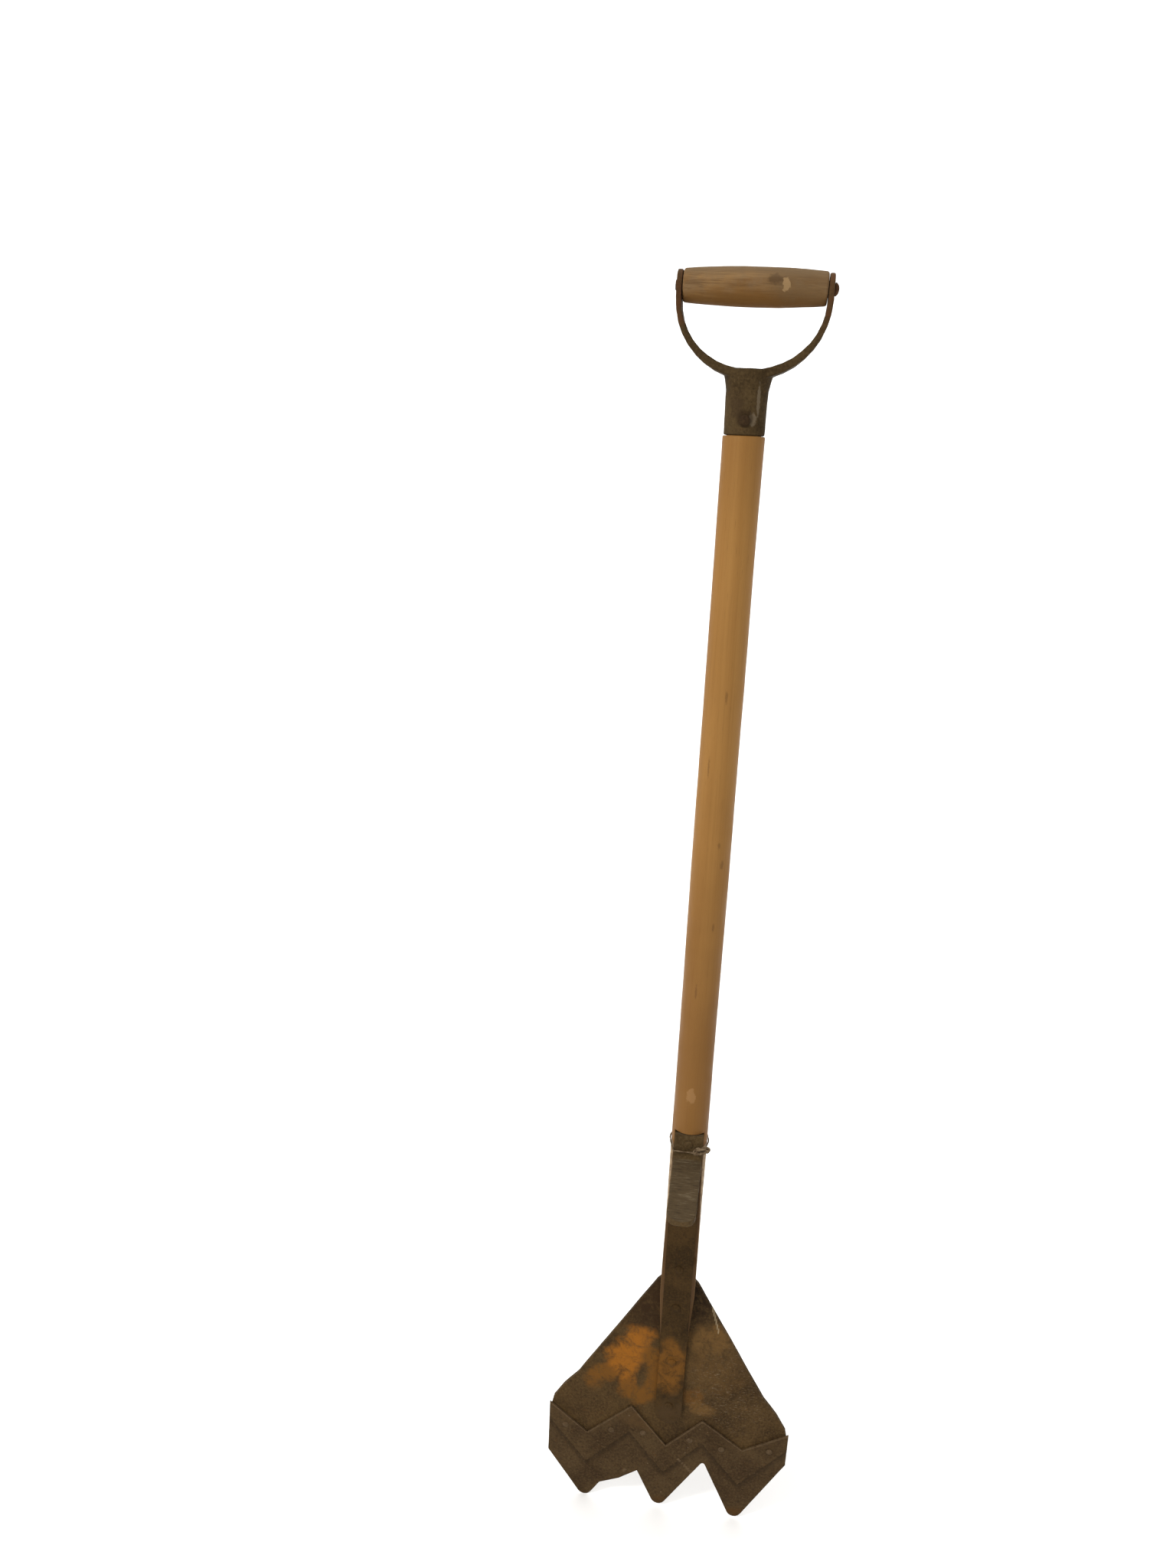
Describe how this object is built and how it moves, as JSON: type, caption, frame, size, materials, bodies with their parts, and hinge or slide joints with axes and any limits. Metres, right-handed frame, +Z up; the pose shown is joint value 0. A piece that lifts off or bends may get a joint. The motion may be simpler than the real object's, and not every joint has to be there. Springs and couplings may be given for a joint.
{
  "type": "post hole digger",
  "caption": "Hand digging tool with a D grip, a round wooden shaft, a foot step and one broad blade with a deep toothed edge.",
  "frame": {"origin": "on the ground plane through the tooth tips, at the middle of the tool's width and depth", "axes": "+Z up along the shaft towards the grip, +X along the grip towards the rod's round head, -Y out of the toothed face, the way the foot step points"},
  "size_m": [0.254, 0.1184, 1.2503],
  "materials": {
    "shaft_wood": "varnished ash, golden brown, fine straight grain, dirt near the irons",
    "grip_wood": "weathered hand-worn wood, grey-tan above, golden below",
    "yoke_iron": "dark brown rust patina with a few light scratches",
    "step_iron": "worn grey-brown iron, scuffed across the tread",
    "blade_iron": "brown-grey patina with orange rust patches and fine scratches",
    "twine": "dirty undyed twine, frayed"
  },
  "bodies": {
    "tool": {"blade_body": "blade_iron", "d_yoke": "yoke_iron", "foot_step": "step_iron", "front_strap": "blade_iron", "grip_rod": "yoke_iron", "shaft": "shaft_wood", "step_rivet": "blade_iron", "strap_rivet_1": "blade_iron", "strap_rivet_2": "blade_iron", "strap_rivet_3": "blade_iron", "tongue_rivet_1": "blade_iron", "tongue_rivet_2": "blade_iron", "tooth_plate": "blade_iron", "tooth_rivet_1": "blade_iron", "tooth_rivet_2": "blade_iron", "tooth_rivet_3": "blade_iron", "tooth_rivet_4": "blade_iron", "tooth_rivet_5": "blade_iron", "tooth_rivet_6": "blade_iron", "twine_knot": "twine", "twine_ring": "twine", "yoke_rivet": "yoke_iron"},
    "grip": {"grip": "grip_wood"}
  },
  "joints": [
    {"name": "grip_spin", "type": "hinge", "parent": "tool", "child": "grip", "pos_m": [0, 0.03975, 1.235], "axis": [1, 0, 0], "continuous": true}
  ]
}
